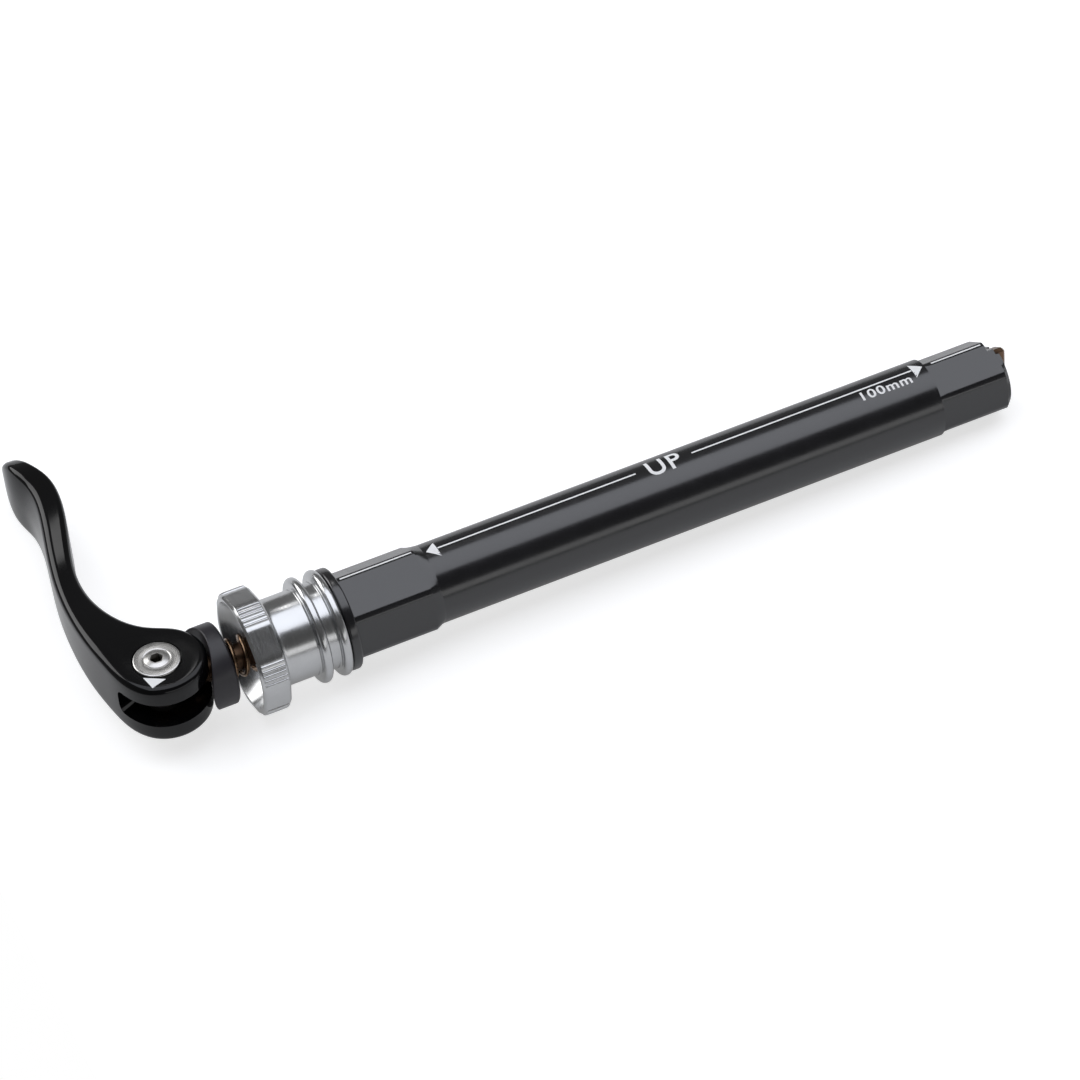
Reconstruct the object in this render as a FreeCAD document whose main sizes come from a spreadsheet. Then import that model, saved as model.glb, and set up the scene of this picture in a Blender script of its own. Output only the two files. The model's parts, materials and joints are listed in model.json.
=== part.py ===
import FreeCAD, Part
import Sketcher
import math
import os
import re

# Quick-release thru-axle for a bicycle's front wheel, in millimetres.
# X runs along the axle from the lever to the far end, and Z is the lever's pivot axis.
# The origin is the middle of the hub journal, on the axle's axis.

doc = FreeCAD.newDocument("bicycle_axle")
sheet = doc.addObject("Spreadsheet::Sheet", "Sizes")

sizes = [
    # Axle tube
    ("journal_dia", 15.0),
    ("journal_length", 102.0),
    ("near_hex_length", 17.2),
    ("near_hex_flats", 15.3),
    ("near_hex_corner_cut", 0.33),
    ("near_hex_taper", 2.0),
    ("flange_dia", 19.4),
    ("flange_thickness", 1.9),
    ("flange_round", 0.5),
    ("far_hex_length", 14.4),
    ("far_hex_flats", 13.3),
    ("far_hex_corner_cut", 0.33),
    ("far_hex_taper", 1.3),
    ("far_end_chamfer", 0.9),
    ("hex_clock", 6.0),
    ("tube_bore_dia", 9.0),
    ("thread_run_out", 2.5),
    ("end_step_length", 2.0),
    ("end_step_height", 5.0),
    # Tension adjuster
    ("thread_dia", 11.0),
    ("thread_clearance", 0.05),
    ("shank_length", 9.5),
    ("flange_gap", 0.05),
    ("rib_dia", 20.2),
    ("rib_width", 1.8),
    ("rib_round", 1.15),
    ("crest_share", 0.48),
    ("rib_groove_dia", 16.6),
    ("rib_groove_width", 2.1),
    ("neck_dia", 16.4),
    ("neck_length", 7.0),
    ("neck_round", 1.2),
    ("rim_dia", 23.5),
    ("rim_width", 5.4),
    ("rim_flat_depth", 0.7),
    ("rim_wall", 0.75),
    ("rim_clock", 48.0),
    ("rim_chamfer", 0.6),
    ("ridge_pitch", 1.0),
    ("ridge_groove_dia", 0.9),
    ("ridge_depth", 0.3),
    ("dish_depth", 4.6),
    ("dish_taper", 1.8),
    ("dish_lip", 0.6),
    ("spring_bore_depth", 5.6),
    # Spring and its seat
    ("spring_dia", 7.8),
    ("spring_wire", 0.95),
    ("spring_pitch", 2.3),
    ("spring_clearance", 0.5),
    ("spring_end_gap", 0.05),
    ("seat_thickness", 1.0),
    ("washer_to_rim", 3.05),
    # Rod, guide and cross bar
    ("rod_dia", 5.0),
    ("rod_clearance", 0.2),
    ("guide_clearance", 0.05),
    ("guide_length", 10.0),
    ("press_clearance", 0.01),
    ("rod_end_dia", 2.4),
    ("bar_width", 3.6),
    ("bar_clearance", 0.2),
    ("bar_proud", 1.4),
    ("bar_chamfer", 0.4),
    ("bar_reach", 6.25),
    ("bar_inset", 0.3),
    ("bar_sink", 0.8),
    # Cam washer
    ("washer_dia", 15.6),
    ("washer_web", 3.0),
    ("washer_chamfer", 0.4),
    ("cam_seat_radius", 14.0),
    ("cam_gap", 0.25),
    # Cam lever
    ("cam_high", 9.1),
    ("cam_lift", 1.5),
    ("cam_swing", 140.0),
    ("cheek_height", 13.0),
    ("slot_height", 5.3),
    ("slot_slant", 19.5),
    ("slot_clearance", 0.2),
    ("root_offset", 8.8),
    ("root_reach", 4.5),
    ("bend_offset", 9.6),
    ("bend_reach", 11.5),
    ("waist_offset", 8.9),
    ("waist_run", 12.0),
    ("waist_thickness", 4.7),
    ("waist_height", 11.0),
    ("waist_crown", 0.3),
    ("neck_offset", 6.5),
    ("neck_run", 13.0),
    ("neck_thickness", 5.25),
    ("neck_crown", 0.6),
    ("paddle_offset", 5.2),
    ("paddle_run", 8.5),
    ("paddle_thickness", 5.6),
    ("paddle_height", 13.4),
    ("paddle_crown", 1.2),
    ("lever_reach", 67.4),
    ("tip_offset", 6.0),
    ("tip_thickness", 3.8),
    ("tip_height", 11.2),
    ("tip_crown", 0.6),
    ("tip_round", 4.5),
    ("tip_run_out", 1.5),
    ("crook_offset", 2.9),
    ("crook_reach", 16.4),
    ("shoulder_across", 1.9),
    ("shoulder_reach", 9.2),
    ("cam_start_across", 6.3),
    ("cam_start_reach", 6.2),
    ("lever_round", 1.1),
    # Pivot
    ("bolt_dia", 3.6),
    ("bolt_clearance", 0.03),
    ("head_dia", 8.8),
    ("head_thickness", 1.3),
    ("head_recess", 0.8),
    ("head_chamfer", 0.35),
    ("head_clearance", 0.2),
    ("socket_flats", 2.5),
    ("socket_depth", 1.0),
    ("bush_dia", 5.2),
    ("bush_flange_dia", 5.8),
    ("bush_flange_thickness", 1.0),
    ("eye_dia", 5.0),
    ("eye_clearance", 0.1),
]

for row, (alias, number) in enumerate(sizes, 1):
    sheet.set("A%d" % row, alias)
    sheet.set("B%d" % row, str(number))
    sheet.setAlias("B%d" % row, alias)
doc.recompute()

aliases = {alias for alias, number in sizes}
tolerance = 1e-4

# Stations along the axle and other sizes that follow from the cells, as expressions.
flange_back = "(-journal_length / 2 - near_hex_length - flange_thickness)"
adjuster_seat = flange_back + " - flange_gap"
adjuster_length = "(2 * rib_width + rib_groove_width + neck_length + rim_width)"
rim_front = "(" + adjuster_seat + " - " + adjuster_length + ")"
washer_face = "(" + rim_front + " - washer_to_rim)"
seat_face = "(" + rim_front + " + dish_depth + spring_bore_depth - seat_thickness)"
pivot = "(" + washer_face + " - washer_web - cam_gap - cam_high)"
tube_end = "(journal_length / 2 + far_hex_length)"
bar_floor = "(" + tube_end + " - bar_sink)"
spring_bore_dia = "(spring_dia + 2 * spring_clearance)"
rod_hole_dia = "(rod_dia + 2 * rod_clearance)"
bolt_hole_dia = "(bolt_dia + 2 * bolt_clearance)"
near_hex_corner_dia = "(near_hex_flats / cos(30) - 2 * near_hex_corner_cut)"
far_hex_corner_dia = "(far_hex_flats / cos(30) - 2 * far_hex_corner_cut)"
rim_flats = "(rim_dia - 2 * rim_flat_depth)"
dish_mouth = "(rim_dia / 2 - rim_flat_depth - rim_wall)"
dish_floor = "(" + dish_mouth + " - dish_taper)"
tip_start = "(lever_reach - tip_round)"
paddle_reach = "(" + tip_start + " - paddle_run)"
neck_reach = "(" + paddle_reach + " - neck_run)"
waist_reach = "(" + neck_reach + " - waist_run)"


def full(expression):
    def name_cell(word):
        return "Sizes." + word[0] if word[0] in aliases else word[0]

    return re.sub(r"[a-z_]+", name_cell, str(expression))


def value(expression):
    result = sheet.evalExpression(full(expression))
    return float(getattr(result, "Value", result))


def make_body(label, station):
    body = doc.addObject("PartDesign::Body", label)
    body.Label = label
    body.setExpression("Placement.Base.x", full(station))
    return body


def make_sketch(body, name, role, offset=None):
    sketch = body.newObject("Sketcher::SketchObject", name)
    plane = [feature for feature in body.Origin.OriginFeatures if feature.Role == role][0]
    sketch.AttachmentSupport = [(plane, "")]
    sketch.MapMode = "FlatFace"
    if offset is not None:
        sketch.setExpression("AttachmentOffset.Base.z", full(offset))
    return sketch


def hold(sketch, kind, axis, geometry, end, expression):
    # Ties one coordinate of a sketch point to its expression, or to the axis where it is zero.
    if expression == 0:
        sketch.addConstraint(Sketcher.Constraint("PointOnObject", geometry, end, axis))
        return
    index = sketch.addConstraint(Sketcher.Constraint(kind, -1, 1, geometry, end, value(expression)))
    sketch.setExpression("Constraints[%d]" % index, full(expression))


def draw_outline(sketch, corners):
    # Straight lines from corner to corner, closed, each corner held by its two coordinates.
    first = sketch.GeometryCount
    spots = [FreeCAD.Vector(value(across), value(up), 0) for across, up in corners]
    count = len(spots)
    for index in range(count):
        sketch.addGeometry(Part.LineSegment(spots[index], spots[(index + 1) % count]))
    for index in range(count):
        following = first + (index + 1) % count
        sketch.addConstraint(Sketcher.Constraint("Coincident", first + index, 2, following, 1))
    for index, (across, up) in enumerate(corners):
        hold(sketch, "DistanceX", -2, first + index, 1, across)
        hold(sketch, "DistanceY", -1, first + index, 1, up)


def draw_circle(sketch, across, up, radius):
    middle = FreeCAD.Vector(value(across), value(up), 0)
    index = sketch.addGeometry(Part.Circle(middle, FreeCAD.Vector(0, 0, 1), value(radius)))
    hold(sketch, "DistanceX", -2, index, 3, across)
    hold(sketch, "DistanceY", -1, index, 3, up)
    size = sketch.addConstraint(Sketcher.Constraint("Radius", index, value(radius)))
    sketch.setExpression("Constraints[%d]" % size, full(radius))


def hexagon(flats, turn=0):
    # Corners across Y and up Z, the first one straight up before it is turned towards +Y.
    corners = []
    for step in range(6):
        angle = "(%d + %s)" % (60 * step, turn)
        reach = "%s / 2 / cos(30)" % flats
        level = turn == 0 and step % 3 == 0
        side = 0 if level else "%s * sin%s" % (reach, angle)
        corners.append((side, "%s * cos%s" % (reach, angle)))
    return corners


def turned_point(along, across, angle):
    # A point at a distance along a direction that leans from +Z towards +Y, and across it.
    side = "%s * sin(%s) + %s * cos(%s)" % (along, angle, across, angle)
    rise = "%s * cos(%s) - %s * sin(%s)" % (along, angle, across, angle)
    return side, rise


def revolve(body, name, corners):
    sketch = make_sketch(body, name + "_profile", "XY_Plane")
    draw_outline(sketch, corners)
    feature = body.newObject("PartDesign::Revolution", name)
    feature.Profile = sketch
    feature.ReferenceAxis = (sketch, ["H_Axis"])
    feature.Angle = 360
    doc.recompute()
    return feature


def pad(body, name, sketch, length, both_ways=False):
    feature = body.newObject("PartDesign::Pad", name)
    feature.Profile = sketch
    feature.setExpression("Length", full(length))
    feature.Midplane = both_ways
    doc.recompute()
    return feature


def pocket(body, name, sketch, length, both_ways=False):
    before = body.Shape.Volume
    feature = body.newObject("PartDesign::Pocket", name)
    feature.Profile = sketch
    feature.setExpression("Length", full(length))
    feature.Midplane = both_ways
    doc.recompute()
    if body.Shape.Volume >= before:
        raise ValueError(name + " removes nothing")
    return feature


def ring_edges(feature, diameter, station):
    # Names of the round edges of one diameter at one place along the body's X axis.
    names = []
    for number, edge in enumerate(feature.Shape.Edges, 1):
        if not isinstance(edge.Curve, Part.Circle):
            continue
        same_size = abs(2 * edge.Curve.Radius - value(diameter)) < tolerance
        same_place = abs(edge.Curve.Center.x - value(station)) < tolerance
        along_axis = abs(abs(edge.Curve.Axis.x) - 1) < tolerance
        if same_size and same_place and along_axis:
            names.append("Edge%d" % number)
    return names


def dress(body, kind, name, feature, edges, size):
    finish = body.newObject("PartDesign::" + kind, name)
    finish.Base = (feature, edges)
    finish.setExpression("Radius" if kind == "Fillet" else "Size", full(size))
    doc.recompute()
    if finish.Shape.isNull():
        raise ValueError(name + " did not build")
    return finish


def make_axle_tube():
    # The body's own X starts at the back of the flange.
    body = make_body("axle_tube", flange_back)
    near_hex = "flange_thickness"
    journal = "(flange_thickness + near_hex_length)"
    far_hex = "(%s + journal_length)" % journal
    end = "(%s + far_hex_length)" % far_hex
    mouth = "thread_dia / 2 + thread_clearance"
    mouth_depth = "(shank_length + thread_run_out)"
    near_corner = near_hex_corner_dia + " / 2"
    far_corner = far_hex_corner_dia + " / 2"
    turned = revolve(body, "turned_tube", [
        (0, mouth),
        (0, "flange_dia / 2"),
        (near_hex, "flange_dia / 2"),
        (near_hex, near_corner),
        (journal + " - near_hex_taper", near_corner),
        (journal, "journal_dia / 2"),
        (far_hex, "journal_dia / 2"),
        (far_hex + " + far_hex_taper", far_corner),
        (end + " - far_end_chamfer", far_corner),
        (end, far_corner + " - far_end_chamfer"),
        (end, "tube_bore_dia / 2"),
        (mouth_depth, "tube_bore_dia / 2"),
        (mouth_depth, mouth),
    ])
    rims = ring_edges(turned, "flange_dia", 0) + ring_edges(turned, "flange_dia", near_hex)
    dress(body, "Fillet", "flange_edges", turned, rims, "flange_round")
    hexes = [("near_hex", "near_hex_flats", journal, "near_hex_length"),
             ("far_hex", "far_hex_flats", end, "far_hex_length")]
    for name, flats, station, length in hexes:
        sketch = make_sketch(body, name + "_flats", "YZ_Plane", station)
        draw_outline(sketch, hexagon(flats, "hex_clock"))
        draw_circle(sketch, 0, 0, "flange_dia / 2")
        pocket(body, name, sketch, length)
    # The far end is stepped parallel to one hex face, and slotted across for the cross bar.
    facet = "hex_clock + 30"
    step = make_sketch(body, "end_step_outline", "YZ_Plane", end)
    reach = far_hex_corner_dia
    draw_outline(step, [turned_point("end_step_height", "-" + reach, facet),
                        turned_point("end_step_height", reach, facet),
                        turned_point(reach, reach, facet),
                        turned_point(reach, "-" + reach, facet)])
    pocket(body, "end_step", step, "end_step_length")
    slot = make_sketch(body, "bar_slot_outline", "YZ_Plane", end)
    side = "(bar_width / 2 + bar_clearance)"
    draw_outline(slot, [("-" + side, "-" + reach), (side, "-" + reach), (side, reach), ("-" + side, reach)])
    pocket(body, "bar_slot", slot, "bar_sink")
    return body


def make_rod_guide_bush():
    body = make_body("rod_guide_bush", bar_floor + " - bar_clearance - guide_length")
    outside = "tube_bore_dia / 2 - press_clearance"
    inside = "rod_dia / 2 + guide_clearance"
    revolve(body, "turned_guide", [(0, inside), (0, outside), ("guide_length", outside),
                                   ("guide_length", inside)])
    return body


def make_tension_adjuster():
    # The body's own X starts at the front of the thumb wheel.
    body = make_body("tension_adjuster", rim_front)
    back = "rim_width"
    first_rib = "(rim_width + neck_length)"
    groove = "(%s + rib_width)" % first_rib
    second_rib = "(%s + rib_groove_width)" % groove
    shoulder = "(%s + rib_width)" % second_rib
    end = shoulder + " + shank_length"
    seat = "dish_depth + spring_bore_depth"
    turned = revolve(body, "turned_adjuster", [
        (0, dish_mouth),
        (0, "rim_dia / 2 - rim_chamfer"),
        ("rim_chamfer", "rim_dia / 2"),
        (back + " - rim_chamfer", "rim_dia / 2"),
        (back, "rim_dia / 2 - rim_chamfer"),
        (back, "neck_dia / 2"),
        (first_rib, "neck_dia / 2"),
        (first_rib, "rib_dia / 2"),
        (groove, "rib_dia / 2"),
        (groove, "rib_groove_dia / 2"),
        (second_rib, "rib_groove_dia / 2"),
        (second_rib, "rib_dia / 2"),
        (shoulder, "rib_dia / 2"),
        (shoulder, "thread_dia / 2"),
        (end, "thread_dia / 2"),
        (end, rod_hole_dia + " / 2"),
        (seat, rod_hole_dia + " / 2"),
        (seat, spring_bore_dia + " / 2"),
        ("dish_depth", spring_bore_dia + " / 2"),
        ("dish_depth", dish_floor),
        ("dish_depth - dish_lip", dish_floor),
    ])
    crests = []
    for station in (first_rib, groove, second_rib, shoulder):
        crests += ring_edges(turned, "rib_dia", station)
    crest_round = "min(rib_round; (rib_dia - rib_groove_dia) * crest_share; rib_width * crest_share)"
    rounded = dress(body, "Fillet", "rib_crests", turned, crests, crest_round)
    corner = ring_edges(rounded, "neck_dia", back)
    dress(body, "Fillet", "neck_root", rounded, corner, "neck_round")
    flats = make_sketch(body, "rim_flats_outline", "YZ_Plane", "rim_width")
    draw_outline(flats, hexagon(rim_flats, "rim_clock"))
    draw_circle(flats, 0, 0, "rim_dia")
    pocket(body, "rim_flats", flats, "rim_width")
    # Four grip grooves in one corner of the wheel, repeated round its six corners.
    grip = make_sketch(body, "grip_outline", "YZ_Plane", "rim_width")
    depth = "rim_dia / 2 + ridge_groove_dia / 2 - ridge_depth"
    for step in (-1.5, -0.5, 0.5, 1.5):
        lean = "(rim_clock + %.1f * ridge_pitch / rim_dia * 2 * 180 / pi)" % step
        across = "(%s) * sin%s" % (depth, lean)
        rise = "(%s) * cos%s" % (depth, lean)
        draw_circle(grip, across, rise, "ridge_groove_dia / 2")
    grooves = pocket(body, "grip_grooves", grip, "rim_width")
    pattern = body.newObject("PartDesign::PolarPattern", "grip_corners")
    pattern.Originals = [grooves]
    pattern.Axis = (flats, ["N_Axis"])
    pattern.Angle = 360
    pattern.Occurrences = 6
    body.Tip = pattern
    doc.recompute()
    return body


def make_spring_seat_washer():
    body = make_body("spring_seat_washer", seat_face)
    outside = spring_bore_dia + " / 2 - rod_clearance"
    inside = rod_hole_dia + " / 2"
    revolve(body, "turned_seat", [(0, inside), (0, outside), ("seat_thickness", outside),
                                  ("seat_thickness", inside)])
    return body


def make_return_spring():
    # A helix of round wire that stands between the cam washer and its seat.
    wire = value("spring_wire")
    gap = value("spring_end_gap")
    radius = value("spring_dia") / 2 - wire / 2
    length = value(seat_face) - value(washer_face) - wire - 2 * gap
    helix = Part.makeHelix(value("spring_pitch"), length, radius)
    middle = FreeCAD.Vector(radius, 0, 0)
    section = Part.Wire(Part.makeCircle(wire / 2, middle, FreeCAD.Vector(0, 1, 0)))
    coil = Part.Wire(helix.Edges).makePipeShell([section], True, True)
    spring = doc.addObject("Part::Feature", "return_spring")
    spring.Label = "return_spring"
    spring.Shape = coil
    base = FreeCAD.Vector(value(washer_face) + gap + wire / 2, 0, 0)
    spring.Placement = FreeCAD.Placement(base, FreeCAD.Rotation(FreeCAD.Vector(0, 1, 0), 90))
    return spring


def make_cam_washer():
    # The body's own X starts at the pivot axis.
    body = make_body("cam_washer", pivot)
    seat = "(cam_high + cam_gap)"
    face = "(%s + washer_web)" % seat
    rim = "(%s - cam_seat_radius + sqrt(cam_seat_radius ^ 2 - (washer_dia / 2) ^ 2))" % seat
    inside = rod_hole_dia + " / 2"
    revolve(body, "turned_washer", [
        (rim, inside),
        (rim, "washer_dia / 2"),
        (face + " - washer_chamfer", "washer_dia / 2"),
        (face, "washer_dia / 2 - washer_chamfer"),
        (face, inside),
    ])
    hollow = make_sketch(body, "cam_seat_outline", "XY_Plane")
    draw_circle(hollow, seat + " - cam_seat_radius", 0, "cam_seat_radius")
    pocket(body, "cam_seat", hollow, "2 * washer_dia", True)
    return body


def make_skewer_rod():
    # The body's own X starts at the pivot axis.
    body = make_body("skewer_rod", pivot)
    neck = "(eye_dia / 2 + rod_dia / 2)"
    shoulder = "(%s - %s + bar_clearance)" % (bar_floor, pivot)
    end = "(%s - %s + bar_proud - bar_chamfer)" % (tube_end, pivot)
    revolve(body, "turned_rod", [
        (neck, 0),
        (neck, "rod_dia / 2"),
        (shoulder, "rod_dia / 2"),
        (shoulder, "rod_end_dia / 2"),
        (end, "rod_end_dia / 2"),
        (end, 0),
    ])
    # A flat tongue and a round eye join the rod to the pivot.
    height = "slot_height - 2 * bush_flange_thickness - 2 * eye_clearance"
    tongue = make_sketch(body, "tongue_outline", "XY_Plane")
    half = "eye_dia / 2"
    root = neck + " + bar_clearance"
    draw_outline(tongue, [(0, "-" + half), (root, "-" + half), (root, half), (0, half)])
    pad(body, "tongue", tongue, height, True)
    eye = make_sketch(body, "eye_outline", "XY_Plane")
    draw_circle(eye, 0, 0, half)
    pad(body, "eye", eye, height, True)
    hole = make_sketch(body, "eye_hole_outline", "XY_Plane")
    draw_circle(hole, 0, 0, bolt_hole_dia + " / 2")
    pocket(body, "eye_hole", hole, "slot_height", True)
    return body


def make_t_bar():
    # The body's own X starts at the inner face of the bar.
    body = make_body("t_bar", bar_floor + " + bar_clearance")
    length = "(bar_sink - bar_clearance + bar_proud)"
    # One corner of each end is cut off under the plane of the end step.
    half = "bar_width / 2"
    level = "(end_step_height - bar_inset)"
    facet = "(hex_clock + 30)"
    across = "(%s - bar_reach * cos%s) / sin%s" % (level, facet, facet)
    rise = "(%s - %s * sin%s) / cos%s" % (level, half, facet, facet)
    outline = make_sketch(body, "bar_outline", "YZ_Plane")
    draw_outline(outline, [("-" + half, "bar_reach"), (across, "bar_reach"), (half, rise),
                           (half, "-bar_reach"), ("-" + across, "-bar_reach"), ("-" + half, "-" + rise)])
    block = pad(body, "bar", outline, length)
    ends = []
    for number, edge in enumerate(block.Shape.Edges, 1):
        at_end = all(abs(vertex.X - value(length)) < tolerance for vertex in edge.Vertexes)
        if at_end:
            ends.append("Edge%d" % number)
    dress(body, "Chamfer", "bar_edges", block, ends, "bar_chamfer")
    hole = make_sketch(body, "bar_hole_outline", "YZ_Plane", length)
    draw_circle(hole, 0, 0, "rod_end_dia / 2 + press_clearance")
    pocket(body, "bar_hole", hole, length)
    return body


def smooth_curve(points, closed=False):
    curve = Part.BSplineCurve()
    curve.interpolate(Points=points, PeriodicFlag=closed)
    return curve.toShape()


def lever_plan(crown_share):
    # Plan seen along the pivot: a cam that falls evenly over the swing, then the bent handle.
    plan = []
    cam_steps = 10
    for step in range(cam_steps + 1):
        share = step / cam_steps
        radius = value("cam_high") - value("cam_lift") * share
        angle = math.radians(-value("cam_swing") * share)
        plan.append(FreeCAD.Vector(radius * math.cos(angle), radius * math.sin(angle), 0))
    outer = [("root_offset", "root_reach", 0), ("bend_offset", "bend_reach", 0),
             ("waist_offset", waist_reach, "waist_crown"), ("neck_offset", neck_reach, "neck_crown"),
             ("paddle_offset", paddle_reach, "paddle_crown"), ("tip_offset", tip_start, "tip_crown"),
             ("tip_offset - tip_thickness / 2", "lever_reach + tip_run_out", 0)]
    inner = [("tip_offset - tip_thickness", tip_start),
             ("paddle_offset - paddle_thickness", paddle_reach),
             ("neck_offset - neck_thickness", neck_reach),
             ("waist_offset - waist_thickness", waist_reach), ("crook_offset", "crook_reach"),
             ("-shoulder_across", "shoulder_reach"), ("-cam_start_across", "cam_start_reach")]
    for offset, reach, crown in outer:
        across = value(offset) - crown_share * value(crown)
        plan.append(FreeCAD.Vector(-across, value(reach), 0))
    plan += [FreeCAD.Vector(-value(offset), value(reach), 0) for offset, reach in inner]
    return plan


def make_cam_lever():
    # The plan is lofted over three levels, because the handle's outer side is crowned.
    high = value("cam_high")
    loft_height = (value("paddle_height") + value("cheek_height")) * 0.3
    crown_share = (2 * loft_height / value("paddle_height")) ** 2
    sections = []
    for level in (-1, 0, 1):
        section = Part.Wire(smooth_curve(lever_plan(crown_share * abs(level)), True))
        section.translate(FreeCAD.Vector(0, 0, level * loft_height))
        sections.append(section)
    solid = Part.makeLoft(sections, True)
    # Side seen along X: level cheeks, a waist, a wider paddle and a rounded tip.
    start = -2 * high
    heights = [(start, "cheek_height"), (0, "cheek_height"), (high, "cheek_height"),
               (waist_reach, "waist_height"), (paddle_reach, "paddle_height"),
               (tip_start, "tip_height")]
    upper = [FreeCAD.Vector(0, value(reach), value(size) / 2) for reach, size in heights]
    lower = [FreeCAD.Vector(0, point.y, -point.z) for point in reversed(upper)]
    tip = FreeCAD.Vector(0, value("lever_reach"), 0)
    side = Part.Wire([smooth_curve(upper + [tip] + lower), Part.makeLine(lower[-1], upper[0])])
    width = 4 * high
    envelope = Part.Face(side).extrude(FreeCAD.Vector(width, 0, 0))
    envelope.translate(FreeCAD.Vector(-width / 2, 0, 0))
    solid = solid.common(envelope)
    solid = solid.makeFillet(value("lever_round"), solid.Edges)
    # The slot lets the rod swing round from the washer to the outer side, where its wall slants forward.
    level = -value("slot_height") / 2
    inner_wall = value("(bush_flange_dia / 2 + slot_clearance) / cos(slot_slant)")
    outer_wall = inner_wall - value("root_offset * tan(slot_slant)")
    plan = [(width, -width), (width, inner_wall), (0, inner_wall), (-value("root_offset"), outer_wall),
            (-width, outer_wall), (-width, -width), (width, -width)]
    outline = Part.makePolygon([FreeCAD.Vector(across, reach, level) for across, reach in plan])
    solid = solid.cut(Part.Face(outline).extrude(FreeCAD.Vector(0, 0, value("slot_height"))))
    depth = value("cheek_height")
    bore_radius = value("bush_dia") / 2 + value("press_clearance")
    solid = solid.cut(Part.makeCylinder(bore_radius, depth, FreeCAD.Vector(0, 0, -depth / 2)))
    recess = value("head_dia") / 2 + value("head_clearance")
    for side_up in (1, -1):
        floor = FreeCAD.Vector(0, 0, side_up * (depth / 2 - value("head_recess")))
        solid = solid.cut(Part.makeCylinder(recess, depth, floor, FreeCAD.Vector(0, 0, side_up)))
    lever = doc.addObject("Part::Feature", "cam_lever")
    lever.Label = "cam_lever"
    lever.Shape = solid
    lever.Placement = FreeCAD.Placement(FreeCAD.Vector(value(pivot), 0, 0), FreeCAD.Rotation())
    return lever


def turn_upright(body, name, corners):
    # Revolves a profile of radius and height about the pivot axis.
    sketch = make_sketch(body, name + "_profile", "XZ_Plane")
    draw_outline(sketch, corners)
    feature = body.newObject("PartDesign::Revolution", name)
    feature.Profile = sketch
    feature.ReferenceAxis = (sketch, ["V_Axis"])
    feature.Angle = 360
    doc.recompute()
    return feature


head_floor = "(cheek_height / 2 - head_recess)"
head_top = "(%s + head_thickness)" % head_floor


def make_pivot_bolt():
    body = make_body("pivot_bolt", pivot)
    end = "-(%s - head_chamfer)" % head_top
    turn_upright(body, "turned_bolt", [
        (0, head_top),
        ("head_dia / 2 - head_chamfer", head_top),
        ("head_dia / 2", head_top + " - head_chamfer"),
        ("head_dia / 2", head_floor),
        ("bolt_dia / 2", head_floor),
        ("bolt_dia / 2", end),
        (0, end),
    ])
    socket = make_sketch(body, "socket_outline", "XY_Plane", head_top)
    draw_outline(socket, hexagon("socket_flats"))
    pocket(body, "socket", socket, "socket_depth")
    return body


def make_pivot_nut():
    body = make_body("pivot_nut", pivot)
    inside = "bolt_dia / 2 + press_clearance"
    turn_upright(body, "turned_nut", [
        (inside, "-" + head_floor),
        ("head_dia / 2", "-" + head_floor),
        ("head_dia / 2", "-(%s - head_chamfer)" % head_top),
        ("head_dia / 2 - head_chamfer", "-" + head_top),
        (inside, "-" + head_top),
    ])
    return body


def make_pivot_bush(label, side_up):
    body = make_body(label, pivot)
    inside = bolt_hole_dia + " / 2"
    sign = "" if side_up > 0 else "-"
    turn_upright(body, label + "_turned", [
        (inside, sign + head_floor),
        ("bush_dia / 2", sign + head_floor),
        ("bush_dia / 2", sign + "(slot_height / 2)"),
        ("bush_flange_dia / 2", sign + "(slot_height / 2)"),
        ("bush_flange_dia / 2", sign + "(slot_height / 2 - bush_flange_thickness)"),
        (inside, sign + "(slot_height / 2 - bush_flange_thickness)"),
    ])
    return body


pieces = [
    make_axle_tube(),
    make_rod_guide_bush(),
    make_tension_adjuster(),
    make_spring_seat_washer(),
    make_return_spring(),
    make_cam_washer(),
    make_skewer_rod(),
    make_t_bar(),
    make_cam_lever(),
    make_pivot_bolt(),
    make_pivot_nut(),
    make_pivot_bush("upper_pivot_bush", 1),
    make_pivot_bush("lower_pivot_bush", -1),
]
doc.recompute()

for item in doc.Objects:
    if "Invalid" in item.State or "Error" in item.State:
        raise ValueError(item.Label + " did not build")
for piece in pieces:
    if piece.Shape.isNull() or not piece.Shape.isValid():
        raise ValueError(piece.Label + " has no valid shape")

os.makedirs("parts", exist_ok=True)
for piece in pieces:
    piece.Shape.exportStep("parts/%s.step" % piece.Label)
    box = piece.Shape.BoundBox
    print("%-20s %9.2f mm3, x %.2f to %.2f" % (piece.Label, piece.Shape.Volume, box.XMin, box.XMax))
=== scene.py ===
import bpy
import bmesh
import json
import math
import numpy as np
from mathutils import Matrix, Vector


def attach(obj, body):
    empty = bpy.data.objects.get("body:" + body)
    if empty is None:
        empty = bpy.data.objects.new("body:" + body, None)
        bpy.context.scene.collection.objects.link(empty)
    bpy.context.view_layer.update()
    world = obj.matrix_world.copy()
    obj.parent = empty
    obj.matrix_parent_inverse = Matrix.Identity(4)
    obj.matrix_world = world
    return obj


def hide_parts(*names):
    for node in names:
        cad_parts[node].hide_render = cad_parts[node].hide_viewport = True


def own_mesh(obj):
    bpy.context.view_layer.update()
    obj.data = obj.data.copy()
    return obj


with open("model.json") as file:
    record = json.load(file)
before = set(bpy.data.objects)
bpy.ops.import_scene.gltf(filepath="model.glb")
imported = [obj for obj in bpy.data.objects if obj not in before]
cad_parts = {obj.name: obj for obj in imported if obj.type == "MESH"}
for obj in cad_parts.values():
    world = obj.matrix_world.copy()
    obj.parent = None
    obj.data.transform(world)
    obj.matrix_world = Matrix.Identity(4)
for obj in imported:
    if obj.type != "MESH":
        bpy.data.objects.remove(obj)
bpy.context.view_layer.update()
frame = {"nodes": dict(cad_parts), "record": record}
mm = 0.001
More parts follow.
